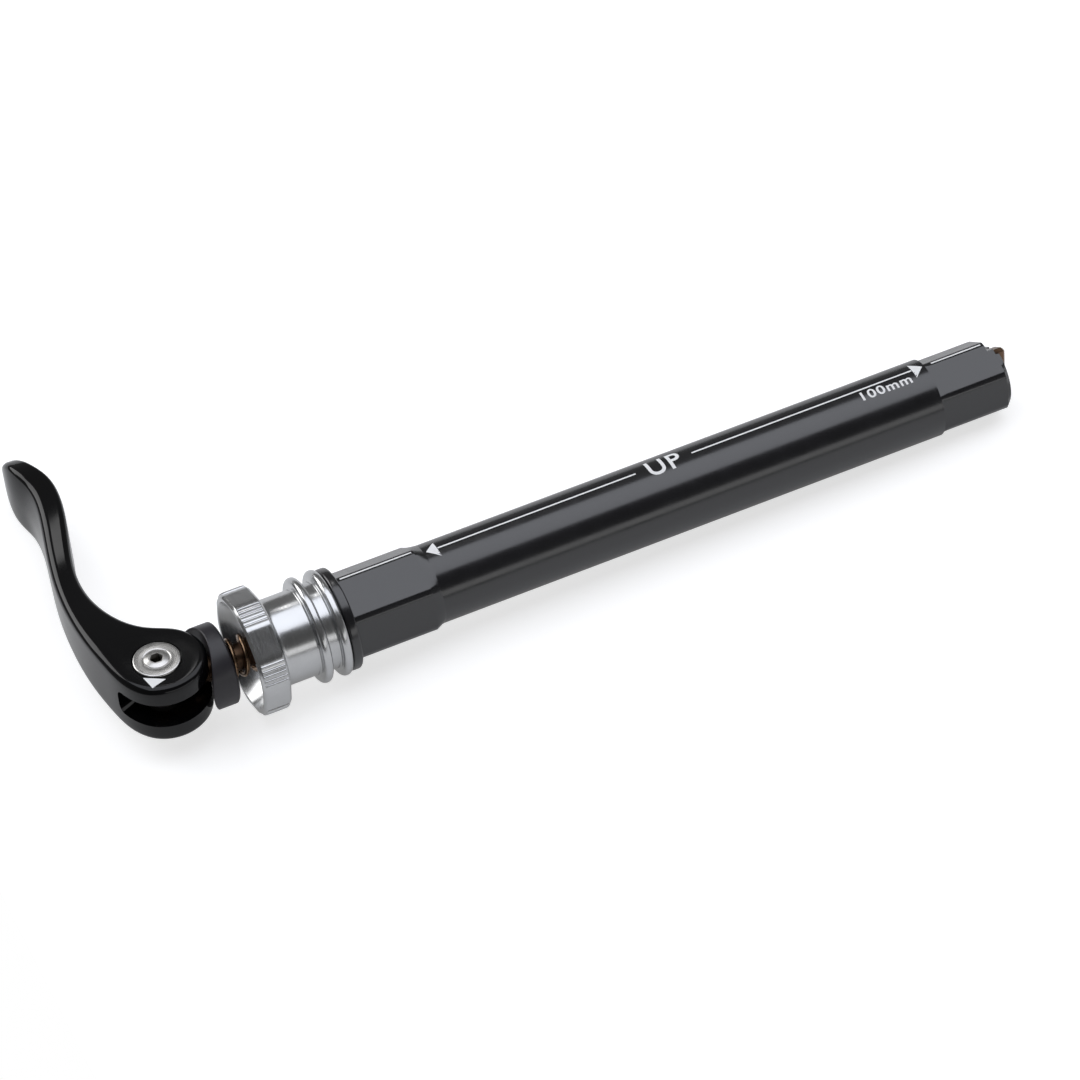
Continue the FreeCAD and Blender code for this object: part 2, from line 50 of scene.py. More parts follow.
tiny = 0.001  # in mm, for comparing places
pivotX = -103.65  # lever's pivot along the axle
hexClock = 6.0  # first hex corner, from +Z towards +Y
print("frame loaded:", len(frame["nodes"]), "nodes")


# shader maths


class Channel:
    # one socket in a node tree, with arithmetic that adds Math nodes
    def __init__(self, graph, socket):
        self.graph = graph
        self.socket = socket

    def math(self, operation, first, second):
        return self.graph.add("ShaderNodeMath", {"operation": operation}, {0: first, 1: second})

    def of(self, operation):
        return self.graph.add("ShaderNodeMath", {"operation": operation}, {0: self})

    def __add__(self, other):
        return self.math("ADD", self, other)

    def __sub__(self, other):
        return self.math("SUBTRACT", self, other)

    def __rsub__(self, other):
        return self.math("SUBTRACT", other, self)

    def __mul__(self, other):
        return self.math("MULTIPLY", self, other)

    def __truediv__(self, other):
        return self.math("DIVIDE", self, other)


class Graph:
    def __init__(self, tree):
        self.tree = tree

    def add(self, kind, settings=None, values=None, output=0):
        node = self.tree.nodes.new(kind)
        for key, setting in (settings or {}).items():
            setattr(node, key, setting)
        for key, value in (values or {}).items():
            if isinstance(value, Channel):
                self.tree.links.new(value.socket, node.inputs[key])
            else:
                node.inputs[key].default_value = value
        return Channel(self, node.outputs[output])


# finishes

noiseSpan = (0.3, 0.7)  # where most of a noise texture's values lie
plastic = {"cloud": 220.0, "grain": 5200.0, "bump": 0.15, "bumpDepth": 0.00003}
bronze = {"cloud": 420.0, "cloudSpan": (0.35, 0.65), "lines": 3800.0, "bump": 0.12}
looks = {
    "black_anodised": {
        "dark": (0.0035, 0.0035, 0.0045, 1), "light": (0.006, 0.006, 0.008, 1), "roughness": (0.17, 0.25),
        "lines": 5200.0, "cloud": 260.0, "grain": 9000.0, "bump": 0.12, "ior": 1.75},
    "silver_aluminium": {
        "dark": (0.51, 0.515, 0.52, 1), "light": (0.61, 0.615, 0.62, 1), "roughness": (0.16, 0.27),
        "lines": 4200.0, "cloud": 320.0, "bump": 0.16},
    "lever_black": {
        "dark": (0.0012, 0.0012, 0.0015, 1), "light": (0.0025, 0.0025, 0.003, 1), "roughness": (0.07, 0.13),
        "cloud": 120.0, "peel": 900.0, "bump": 0.04, "bumpDepth": 0.00005, "ior": 1.39},
    "washer_plastic": {
        **plastic, "dark": (0.012, 0.011, 0.014, 1), "light": (0.024, 0.022, 0.027, 1),
        "roughness": (0.3, 0.42)},
    "guide_plastic": {
        **plastic, "dark": (0.02, 0.02, 0.02, 1), "light": (0.04, 0.04, 0.04, 1), "roughness": (0.45, 0.6)},
    "bronze_steel": {
        **bronze, "dark": (0.1, 0.06, 0.04, 1), "light": (0.24, 0.15, 0.095, 1), "roughness": (0.24, 0.38)},
    "bronze_spring": {
        **bronze, "dark": (0.16, 0.1, 0.06, 1), "light": (0.4, 0.27, 0.17, 1), "roughness": (0.2, 0.32)},
    "stainless": {
        "dark": (0.52, 0.51, 0.50, 1), "light": (0.66, 0.65, 0.63, 1), "roughness": (0.22, 0.34),
        # the next colour and its spans paint shade into the bolt's socket
        "rings": 6500.0, "cloud": 500.0, "bump": 0.18, "socketShade": (0.05, 0.042, 0.032, 1), "socketShadeShare": 0.85,
        "socketShadeReach": (0.00125, 0.0014), "socketShadeLevel": (0.0058, 0.0066)},
    "bush_steel": {
        **bronze, "dark": (0.4, 0.38, 0.36, 1), "light": (0.6, 0.58, 0.55, 1), "roughness": (0.25, 0.4)},
    "white_print": {
        "dark": (0.78, 0.78, 0.78, 1), "light": (0.9, 0.9, 0.9, 1), "roughness": (0.45, 0.6), "cloud": 2600.0},
}


def newFinish(name):
    material = bpy.data.materials.new(name)
    material.use_nodes = True
    tree = material.node_tree
    shader = [node for node in tree.nodes if node.type == "BSDF_PRINCIPLED"][0]
    return material, Graph(tree), shader


def feed(graph, shader, **channels):
    inputNames = {"colour": "Base Color", "roughness": "Roughness", "normal": "Normal", "glow": "Emission Color"}
    for name, channel in channels.items():
        graph.tree.links.new(channel.socket, shader.inputs[inputNames[name]])


def place(graph):
    return graph.add("ShaderNodeTexCoord", output=3)


def speckle(graph, scale, detail=3.0, roughness=0.5, vector=None):
    if vector is None:
        vector = place(graph)
    return graph.add("ShaderNodeTexNoise", {"noise_dimensions": "3D"},
                     {"Vector": vector, "Scale": scale, "Detail": detail, "Roughness": roughness})


def turnedLines(graph, scale):
    # rings that a lathe leaves: noise that changes only along the axle
    squeezed = graph.add("ShaderNodeMapping", None, {"Vector": place(graph), "Scale": (1.0, 0.02, 0.02)})
    return speckle(graph, scale, 2.0, 0.6, squeezed)


def blendColour(graph, share, first, second):
    return graph.add("ShaderNodeMix", {"data_type": "RGBA"}, {0: share, 6: first, 7: second}, output=2)


def shade(graph, share, look):
    return blendColour(graph, share, look["dark"], look["light"])


def fitted(graph, value, span, newSpan):
    return graph.add("ShaderNodeMapRange", {"clamp": True},
                     {0: value, 1: span[0], 2: span[1], 3: newSpan[0], 4: newSpan[1]})


def rough(graph, noise, look):
    return fitted(graph, noise, noiseSpan, look["roughness"])


def bumped(graph, height, look):
    depth = look.get("bumpDepth", 0.00002)
    return graph.add("ShaderNodeBump", None, {"Strength": look["bump"], "Distance": depth, "Height": height})


def anodisedFinish(name, look):
    material, graph, shader = newFinish(name)
    lines = turnedLines(graph, look["lines"])
    cloud = speckle(graph, look["cloud"])
    grain = speckle(graph, look["grain"], 2.0)
    feed(graph, shader, colour=shade(graph, cloud, look),
         roughness=rough(graph, cloud * 0.6 + lines * 0.4, look),
         normal=bumped(graph, lines * 0.7 + grain * 0.3, look))
    shader.inputs["IOR"].default_value = look["ior"]
    return material


def silverFinish(name, look):
    material, graph, shader = newFinish(name)
    lines = turnedLines(graph, look["lines"])
    cloud = speckle(graph, look["cloud"])
    feed(graph, shader, colour=shade(graph, cloud, look),
         roughness=rough(graph, lines * 0.7 + cloud * 0.3, look), normal=bumped(graph, lines, look))
    shader.inputs["Metallic"].default_value = 1.0
    return material


def leverFinish(name, look):
    material, graph, shader = newFinish(name)
    peel = speckle(graph, look["peel"], 2.0)
    cloud = speckle(graph, look["cloud"])
    feed(graph, shader, colour=shade(graph, cloud, look), roughness=rough(graph, cloud, look),
         normal=bumped(graph, peel, look))
    shader.inputs["IOR"].default_value = look["ior"]
    return material


def plasticFinish(name, look):
    material, graph, shader = newFinish(name)
    grain = speckle(graph, look["grain"])
    cloud = speckle(graph, look["cloud"])
    feed(graph, shader, colour=shade(graph, cloud, look), roughness=rough(graph, cloud, look),
         normal=bumped(graph, grain, look))
    return material


def bronzeFinish(name, look):
    material, graph, shader = newFinish(name)
    cloud = speckle(graph, look["cloud"], 4.0, 0.6)
    lines = turnedLines(graph, look["lines"])
    share = fitted(graph, cloud, look["cloudSpan"], (0.0, 1.0))
    feed(graph, shader, colour=shade(graph, share, look),
         roughness=rough(graph, cloud * 0.5 + lines * 0.5, look), normal=bumped(graph, lines, look))
    shader.inputs["Metallic"].default_value = 1.0
    return material


def facedFinish(name, look):
    # stainless with rings faced round the pivot axis
    material, graph, shader = newFinish(name)
    centred = graph.add("ShaderNodeVectorMath", {"operation": "SUBTRACT"},
                        {0: place(graph), 1: (pivotX * mm, 0, 0)})
    flat = graph.add("ShaderNodeVectorMath", {"operation": "MULTIPLY"}, {0: centred, 1: (1, 1, 0)})
    reach = graph.add("ShaderNodeVectorMath", {"operation": "LENGTH"}, {0: flat}, output=1)
    rings = graph.add("ShaderNodeTexNoise", {"noise_dimensions": "1D"}, {"W": reach, "Scale": look["rings"]})
    cloud = speckle(graph, look["cloud"])
    height = graph.add("ShaderNodeSeparateXYZ", None, {0: centred}, output=2).of("ABSOLUTE")
    # painted shade: the bolt's socket is darkened inside with a dark brown, most towards its floor
    inSocket = fitted(graph, reach, look["socketShadeReach"], (look["socketShadeShare"], 0.0))
    socketShadeMask = inSocket * fitted(graph, height, look["socketShadeLevel"], (1.0, 0.0))
    feed(graph, shader, colour=blendColour(graph, socketShadeMask, shade(graph, cloud, look), look["socketShade"]),
         roughness=rough(graph, rings * 0.6 + cloud * 0.4, look), normal=bumped(graph, rings, look))
    shader.inputs["Metallic"].default_value = 1.0
    return material


def printFinish(name, look):
    material, graph, shader = newFinish(name)
    cloud = speckle(graph, look["cloud"])
    feed(graph, shader, colour=shade(graph, cloud, look), roughness=rough(graph, cloud, look))
    return material


makers = {
    "black_anodised": anodisedFinish, "silver_aluminium": silverFinish, "lever_black": leverFinish,
    "washer_plastic": plasticFinish, "guide_plastic": plasticFinish, "bronze_steel": bronzeFinish,
    "bronze_spring": bronzeFinish, "stainless": facedFinish, "bush_steel": bronzeFinish,
    "white_print": printFinish,
}
finishes = {name: make(name, looks[name]) for name, make in makers.items()}
print("finishes made:", len(finishes))


# mesh helpers


def addObject(name, content):
    item = bpy.data.objects.new(name, content)
    bpy.context.scene.collection.objects.link(item)
    return item


def meshFrom(name, verts, faces):
    mesh = bpy.data.meshes.new(name)
    mesh.from_pydata(verts, [], faces)
    return mesh


def resultOf(item):
    # the mesh that an object's modifiers or text give, after which the object goes
    bpy.context.view_layer.update()
    mesh = bpy.data.meshes.new_from_object(item.evaluated_get(bpy.context.evaluated_depsgraph_get()))
    bpy.data.objects.remove(item)
    return mesh


def cleaned(mesh, dissolve=False):
    # joins doubled points and turns the faces outwards
    tidy = bmesh.new()
    tidy.from_mesh(mesh)
    bmesh.ops.remove_doubles(tidy, verts=tidy.verts, dist=2e-7)
    if dissolve:
        bmesh.ops.dissolve_degenerate(tidy, edges=tidy.edges, dist=1e-7)
    bmesh.ops.recalc_face_normals(tidy, faces=tidy.faces)
    tidy.to_mesh(mesh)
    tidy.free()
    return mesh


def finishPiece(name, mesh, finish, body, replaced=(), sharp=32.0):
    cleaned(mesh, True)
    mesh.polygons.foreach_set("use_smooth", [True] * len(mesh.polygons))
    mesh.set_sharp_from_angle(angle=math.radians(sharp))
    mesh.materials.clear()
    mesh.materials.append(finishes[finish])
    piece = addObject(name, mesh)
    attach(piece, body)
    if replaced:
        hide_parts(*replaced)
    print("piece", name, len(mesh.polygons), "faces")
    return piece


def roundedProfile(corners, steps=5):
    # closed outline of (along, radius, round), each corner replaced by an arc
    straight, mostRun = math.radians(88.5), 0.49
    points = []
    count = len(corners)
    for index in range(count):
        here = np.array(corners[index][:2], float)
        before = np.array(corners[index - 1][:2], float)
        after = np.array(corners[(index + 1) % count][:2], float)
        size = corners[index][2]
        back = (before - here) / np.linalg.norm(before - here)
        on = (after - here) / np.linalg.norm(after - here)
        half = math.acos(max(-1.0, min(1.0, float(back @ on)))) / 2
        if size <= 0 or half > straight:
            points.append(here)
            continue
        run = size / math.tan(half)
        run = min(run, mostRun * np.linalg.norm(before - here), mostRun * np.linalg.norm(after - here))
        size = run * math.tan(half)
        middle = here + (back + on) / np.linalg.norm(back + on) * size / math.sin(half)
        first = here + back * run - middle
        last = here + on * run - middle
        turn = math.atan2(first[0] * last[1] - first[1] * last[0], first @ last)
        for step in range(steps + 1):
            lean = turn * step / steps
            cosLean, sinLean = math.cos(lean), math.sin(lean)
            points.append(middle + np.array([first[0] * cosLean - first[1] * sinLean,
                                             first[0] * sinLean + first[1] * cosLean]))
    return points


def ringAngles(segments):
    return np.linspace(0, 2 * math.pi, segments, endpoint=False)


def bandFaces(count, segments, closed=False):
    # four-sided faces between rings of points that follow each other
    faces = []
    for ring in range(count if closed else count - 1):
        base, following = ring * segments, (ring + 1) % count * segments
        for step in range(segments):
            other = (step + 1) % segments
            faces.append((base + step, base + other, following + other, following + step))
    return faces


def polarMesh(name, rings, segments, axis="X", origin=0.0, closed=True):
    # rings of (along, radius), each a number or one value per angle, joined in order
    angles = ringAngles(segments)
    rows = []
    for along, radius in rings:
        along = np.broadcast_to(along, segments).astype(float)
        radius = np.broadcast_to(radius, segments).astype(float)
        if axis == "X":
            rows.append(np.stack([along + origin, radius * np.sin(angles), radius * np.cos(angles)], 1))
        else:
            rows.append(np.stack([radius * np.cos(angles) + origin, radius * np.sin(angles), along], 1))
    verts = np.concatenate(rows) * mm
    return meshFrom(name, verts.tolist(), bandFaces(len(rings), segments, closed))


def flatLimit(segments, flats, clock):
    # radius at each angle of a hexagon with this width across its flats
    lean = (np.degrees(ringAngles(segments)) - clock) % 60.0 - 30.0
    return flats / 2 / np.cos(np.radians(lean))


def softMin(first, second, blend):
    low = np.minimum(first, second)
    return low - blend * np.log(np.exp(-(first - low) / blend) + np.exp(-(second - low) / blend))


def cutMesh(mesh, cutters):
    # takes closed cutter meshes away from a mesh and returns the result
    base = addObject("cutting_base", cleaned(mesh))
    tools = []
    for cutter in cutters:
        tool = addObject("cutter", cleaned(cutter))
        cut = base.modifiers.new("cut", "BOOLEAN")
        cut.operation = "DIFFERENCE"
        cut.solver = "EXACT"
        cut.object = tool
        tools.append(tool)
    result = resultOf(base)
    for tool in tools:
        bpy.data.objects.remove(tool)
    return result


def stackMesh(name, layers):
    # upright block from plan outlines in mm, each with its level
    count = len(layers[0][1])
    verts = [(x * mm, y * mm, level * mm) for level, outline in layers for x, y in outline]
    faces = bandFaces(len(layers), count)
    faces += [tuple(range(count)), tuple(range(len(verts) - count, len(verts)))]
    return meshFrom(name, verts, faces)


def leaningBlock(name, start, end, floor, top, side, lean):
    # block along the axle whose height leans from +Z towards +Y
    sinLean, cosLean = math.sin(math.radians(lean)), math.cos(math.radians(lean))
    verts = []
    for along in (start, end):
        for height, across in ((floor, -side), (floor, side), (top, side), (top, -side)):
            verts.append((along * mm, (height * sinLean + across * cosLean) * mm,
                          (height * cosLean - across * sinLean) * mm))
    faces = [(0, 1, 2, 3), (7, 6, 5, 4), (0, 4, 5, 1), (1, 5, 6, 2), (2, 6, 7, 3), (3, 7, 4, 0)]
    return meshFrom(name, verts, faces)


# axle tube

tube = {
    "segments": 360, "flangeBack": -70.1, "flangeFront": -68.2, "flangeRadius": 9.7, "flangeRound": 0.5,
    "journalRadius": 7.5, "journalHalf": 51.0, "journalRound": 0.3, "stepRound": 0.12,
    "end": 65.4, "endChamfer": 0.9, "endRound": 0.2, "bore": 4.5,
    "mouth": 5.55, "mouthEnd": -58.1, "mouthRound": 0.3,
    "nearCorner": 8.504, "nearFlats": 15.3, "nearTaper": 2.0, "nearFoot": 0.15, "nearRound": 0.4,
    "farCorner": 7.349, "farFlats": 13.3, "farTaper": 1.3, "farRings": (0.02, 0.05), "farDrop": 0.02,
    "edgeBlend": 0.05, "margin": 0.01, "stepLength": 2.0, "stepHeight": 5.0, "slotSide": 2.0, "slotDepth": 0.8,
    "cutPast": 2.0, "cutReach": 12.0,
}


def makeTube():
    half, end = tube["journalHalf"], tube["end"]
    corners = [
        (tube["flangeBack"], tube["mouth"], tube["mouthRound"]),
        (tube["flangeBack"], tube["flangeRadius"], tube["flangeRound"]),
        (tube["flangeFront"], tube["flangeRadius"], tube["flangeRound"]),
        (tube["flangeFront"], tube["nearCorner"], tube["nearFoot"]),
        (-half - tube["nearTaper"], tube["nearCorner"], tube["nearRound"]),
        (-half, tube["journalRadius"], tube["journalRound"]),
        (half, tube["journalRadius"], tube["stepRound"]),
        (half + tube["farTaper"], tube["farCorner"], 0.0),
        (end - tube["endChamfer"], tube["farCorner"], tube["endRound"]),
        (end, tube["farCorner"] - tube["endChamfer"], tube["endRound"]),
        (end, tube["bore"], tube["endRound"]),
        (tube["mouthEnd"], tube["bore"], 0.0),
        (tube["mouthEnd"], tube["mouth"], 0.0),
    ]
    near = flatLimit(tube["segments"], tube["nearFlats"], hexClock)
    far = flatLimit(tube["segments"], tube["farFlats"], hexClock)
    blend, margin = tube["edgeBlend"], tube["margin"]
    rings, farStarted = [], False
    for along, radius in roundedProfile(corners):
        outside = radius > tube["mouth"] + margin
        alongNear = tube["flangeFront"] - tiny < along < -half - 2 * tiny
        if outside and alongNear and radius < tube["nearCorner"] + 2 * margin:
            radius = softMin(radius, near, blend)
        elif outside and along > half + margin:
            if not farStarted:
                farStarted = True
                first = softMin(tube["journalRadius"] - tube["farDrop"], far, blend)
                rings += [(half + extra, first) for extra in tube["farRings"]]
            radius = softMin(radius, far, blend)
        rings.append((along, radius))
    mesh = polarMesh("axle_tube_skin", rings, tube["segments"])
    past, reach = end + tube["cutPast"], tube["cutReach"]
    step = leaningBlock("step_cutter", end - tube["stepLength"], past, tube["stepHeight"], reach, reach,
                        hexClock + 30.0)
    slot = leaningBlock("slot_cutter", end - tube["slotDepth"], past, -reach, reach, tube["slotSide"], 0.0)
    mesh = cutMesh(mesh, [step, slot])
    finishPiece("axle_tube_body", mesh, "black_anodised", "axle", ["axle_tube"], 24.0)


makeTube()


# tension adjuster with its thumb wheel

adjuster = {
    "segments": 360, "front": -88.25, "rimRadius": 11.75, "rimWidth": 5.4, "rimFlats": 22.1, "rimClock": 48.0,
    "rimChamfer": 0.6, "neck": 8.2, "neckLength": 7.0, "neckRound": 1.2, "rib": 10.1, "ribWidth": 1.8,
    "ribRound": 0.86, "groove": 8.3, "grooveWidth": 2.1, "shank": 5.5, "shankLength": 9.5, "shankRound": 0.4,
    "hole": 2.7, "dishMouth": 10.3, "dishFloor": 8.5, "dishDepth": 4.6, "dishLip": 0.6, "dishRound": 0.5,
    "springBore": 4.4, "springDepth": 5.6, "crisp": 0.2, "slight": 0.25, "soft": 0.3, "arcSteps": 7,
    "flatBlend": 0.05,
}
ridge = {
    "corners": 6, "perCorner": 5, "pitch": 1.0, "height": 0.3, "width": 0.66, "length": 4.5, "root": 0.1,
    "blunt": 0.35, "fade": 0.3, "fadeLeast": 0.05, "arcSteps": 8, "runSteps": 8,
}


def makeAdjuster():
    part = adjuster
    crisp, slight, soft, full = part["crisp"], part["slight"], part["soft"], part["ribRound"]
    rim, dish = part["rimWidth"], part["dishDepth"]
    rib = rim + part["neckLength"]
    groove = rib + part["ribWidth"]
    second = groove + part["grooveWidth"]
    shoulder = second + part["ribWidth"]
    end = shoulder + part["shankLength"]
    seat = dish + part["springDepth"]
    base = part["rimRadius"] - ridge["height"]
    cut = part["rimChamfer"] - ridge["height"] / 2
    corners = [
        (0, part["dishMouth"], slight), (0, base - cut, crisp), (cut, base, soft), (rim - cut, base, soft),
        (rim, base - cut, crisp), (rim, part["neck"], part["neckRound"]), (rib, part["neck"], soft),
        (rib, part["rib"], full), (groove, part["rib"], full), (groove, part["groove"], slight),
        (second, part["groove"], slight), (second, part["rib"], full), (shoulder, part["rib"], full),
        (shoulder, part["shank"], crisp), (end, part["shank"], part["shankRound"]), (end, part["hole"], soft),
        (seat, part["hole"], 0.0), (seat, part["springBore"], 0.0), (dish, part["springBore"], soft),
        (dish, part["dishFloor"], part["dishRound"]), (dish - part["dishLip"], part["dishFloor"], soft),
    ]
    flats = flatLimit(part["segments"], part["rimFlats"], part["rimClock"])
    rings = []
    for along, radius in roundedProfile(corners, part["arcSteps"]):
        if along < rim + 10 * tiny and radius > part["dishMouth"] + soft:
            radius = softMin(radius, flats + radius - base, part["flatBlend"])
        rings.append((along, radius))
    mesh = polarMesh("tension_adjuster_skin", rings, part["segments"], origin=part["front"])
    finishPiece("tension_adjuster_body", mesh, "silver_aluminium", "adjuster",
                ["tension_adjuster"], 28.0)


makeAdjuster()


# geometry node trees

socketKinds = {"float": "NodeSocketFloat", "int": "NodeSocketInt", "Object": "NodeSocketObject"}


def newNodeTree(name, settings):
    # an empty tree with one input for each setting
    tree = bpy.data.node_groups.new(name, "GeometryNodeTree")
    for label, value in settings.items():
        tree.interface.new_socket(label, in_out="INPUT", socket_type=socketKinds[type(value).__name__])
    tree.interface.new_socket("Geometry", in_out="OUTPUT", socket_type="NodeSocketGeometry")
    graph = Graph(tree)
    source = tree.nodes.new("NodeGroupInput")
    return graph, {socket.name: Channel(graph, socket) for socket in source.outputs if socket.name}


def onCircle(graph, along, angle, radius):
    return graph.add("ShaderNodeCombineXYZ", None,
                     {0: along, 1: angle.of("SINE") * radius, 2: angle.of("COSINE") * radius})


def runTree(name, graph, geometry, settings):
    # ends the tree with this geometry and returns the mesh that it makes
    real = graph.add("GeometryNodeRealizeInstances", None, {0: geometry})
    sink = graph.tree.nodes.new("NodeGroupOutput")
    graph.tree.links.new(real.socket, sink.inputs[0])
    holder = addObject(name + "_holder", bpy.data.meshes.new(name + "_holder"))
    modifier = holder.modifiers.new("nodes", "NODES")
    modifier.node_group = graph.tree
    for item in graph.tree.interface.items_tree:
        if item.name in settings:
            modifier[item.identifier] = settings[item.name]
    return resultOf(holder)


def ridgeSeed():
    # one half-round grip ridge along the axle, its foot at the origin and its crest up
    arcSteps, runSteps, root = ridge["arcSteps"], ridge["runSteps"], ridge["root"]
    verts = []
    for run in range(runSteps + 1):
        lean = -math.pi / 2 + math.pi * run / runSteps
        along = ridge["length"] / 2 * math.copysign(abs(math.sin(lean)) ** ridge["blunt"], lean)
        fade = max(ridge["fadeLeast"], math.cos(lean)) ** ridge["fade"]
        for arc in range(arcSteps + 1):
            turn = math.pi * arc / arcSteps
            verts.append((along * mm, -math.cos(turn) * ridge["width"] / 2 * mm,
                          (math.sin(turn) * (ridge["height"] + root) * fade - root) * mm))
    width = arcSteps + 1
    faces = bandFaces(runSteps + 1, width)
    faces += [tuple(range(width)), tuple(range(runSteps * width, (runSteps + 1) * width))]
    return cleaned(meshFrom("grip_ridge_seed", verts, faces))


def makeGripRidges():
    seedObject = addObject("grip_ridge_seed", ridgeSeed())
    settings = {
        "Seed": seedObject, "Corners": ridge["corners"], "Ridges": ridge["perCorner"],
        "Radius": (adjuster["rimRadius"] - ridge["height"]) * mm,
        "Pitch": ridge["pitch"] / adjuster["rimRadius"], "Clock": math.radians(adjuster["rimClock"]),
        "Station": (adjuster["front"] + adjuster["rimWidth"] / 2) * mm}
    graph, given = newNodeTree("grip_ridges", settings)
    corners, ridges = given["Corners"], given["Ridges"]
    points = graph.add("GeometryNodePoints", None, {"Count": corners * ridges})
    index = graph.add("GeometryNodeInputIndex")
    corner = (index / ridges).of("FLOOR")
    step = index - corner * ridges - (ridges - 1) / 2
    angle = given["Clock"] + corner * (2 * math.pi) / corners + step * given["Pitch"]
    spot = onCircle(graph, given["Station"], angle, given["Radius"])
    placed = graph.add("GeometryNodeSetPosition", None, {0: points, "Position": spot})
    seed = graph.add("GeometryNodeObjectInfo", None, {"Object": given["Seed"]}, output=4)
    turn = graph.add("ShaderNodeCombineXYZ", None, {0: 0 - angle})
    copies = graph.add("GeometryNodeInstanceOnPoints", None, {0: placed, "Instance": seed, "Rotation": turn})
    mesh = runTree("grip_ridges", graph, copies, settings)
    bpy.data.objects.remove(seedObject)
    finishPiece("grip_ridges", mesh, "silver_aluminium", "adjuster")


makeGripRidges()


# return spring

spring = {
    "start": -91.3, "end": -79.05, "outside": 7.8, "wire": 0.95, "turns": 4.7, "phase": 200.0, "gap": 0.05,
    "stepsPerTurn": 64, "wireSides": 20, "evenShare": 0.72,
}


def makeSpring():
    wire, even = spring["wire"] / 2, spring["evenShare"]
    settings = {
        "Turns": spring["turns"], "Radius": (spring["outside"] / 2 - wire) * mm, "Wire": wire * mm,
        "Start": (spring["start"] + spring["gap"] + wire) * mm,
        "Length": (spring["end"] - spring["start"] - 2 * spring["gap"] - 2 * wire) * mm,
        "Phase": math.radians(spring["phase"]), "Steps": int(spring["turns"] * spring["stepsPerTurn"]),
        "Sides": spring["wireSides"]}
    graph, given = newNodeTree("return_spring", settings)
    line = graph.add("GeometryNodeCurvePrimitiveLine", {"mode": "POINTS"}, {0: (0, 0, 0), 1: (1, 0, 0)})
    dense = graph.add("GeometryNodeResampleCurve", {"mode": "COUNT"}, {"Curve": line, "Count": given["Steps"]})
    share = graph.add("GeometryNodeSplineParameter")
    angle = share * given["Turns"] * (2 * math.pi) + given["Phase"]
    # the end turns lie closer together than the middle ones
    eased = graph.add("ShaderNodeMapRange", {"interpolation_type": "SMOOTHSTEP"}, {0: share})
    along = given["Start"] + (share * even + eased * (1 - even)) * given["Length"]
    spot = onCircle(graph, along, angle, given["Radius"])
    coil = graph.add("GeometryNodeSetPosition", None, {0: dense, "Position": spot})
    section = graph.add("GeometryNodeCurvePrimitiveCircle", {"mode": "RADIUS"},
                        {"Resolution": given["Sides"], "Radius": given["Wire"]})
    solid = graph.add("GeometryNodeCurveToMesh", None, {0: coil, 1: section, "Fill Caps": True})
    mesh = runTree("return_spring", graph, solid, settings)
    piece = finishPiece("return_spring_coil", mesh, "bronze_spring", "adjuster_carrier",
                        ["return_spring"], 50.0)
    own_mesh(piece)


makeSpring()


# cam washer

washer = {
    "segments": 240, "radius": 7.8, "hole": 2.7, "web": 3.0, "chamfer": 0.4, "seatRadius": 14.0, "seat": 9.35,
    "seatRings": 16, "edge": 0.25, "edgeSteps": 4, "springRoom": 4.25, "springDepth": 2.05, "roomEdge": 0.15,
    "easeRun": 0.2, "easeSide": 0.06, "easeFace": 0.1,
}


def makeWasher():
    sines = np.sin(ringAngles(washer["segments"]))

    def seatAt(radius):
        across = np.minimum(np.abs(radius * sines), washer["radius"])
        return washer["seat"] - washer["seatRadius"] + np.sqrt(washer["seatRadius"] ** 2 - across ** 2)

    outside, inside, edge, cut = washer["radius"], washer["hole"], washer["edge"], washer["chamfer"]
    room, roomEdge, run = washer["springRoom"], washer["roomEdge"], washer["easeRun"]
    face = washer["seat"] + washer["web"]
    low = face - washer["springDepth"]
    rings = [(low - roomEdge, inside), (washer["seat"] + edge, inside)]
    for radius in np.linspace(inside + edge, outside - edge, washer["seatRings"]):
        rings.append((seatAt(radius), radius))
    for step in range(1, washer["edgeSteps"] + 1):
        lean = math.pi / 2 * step / washer["edgeSteps"]
        radius = outside - edge + edge * math.sin(lean)
        rings.append((seatAt(outside - edge) + edge * (1 - math.cos(lean)), radius))
    rings += [(face - cut - run, outside), (face - cut, outside - washer["easeSide"]),
              (face - washer["easeFace"], outside - cut), (face, outside - cut - run),
              (face, room + roomEdge), (face - roomEdge, room), (low, room), (low, inside + roomEdge)]
    mesh = polarMesh("cam_washer_skin", rings, washer["segments"], origin=pivotX)
    finishPiece("cam_washer_body", mesh, "washer_plastic", "cam_follower", ["cam_washer"], 30.0)


makeWasher()


# cam lever, with its sides as (offset, reach), a crown after the outer ones, and half heights as (reach, height)

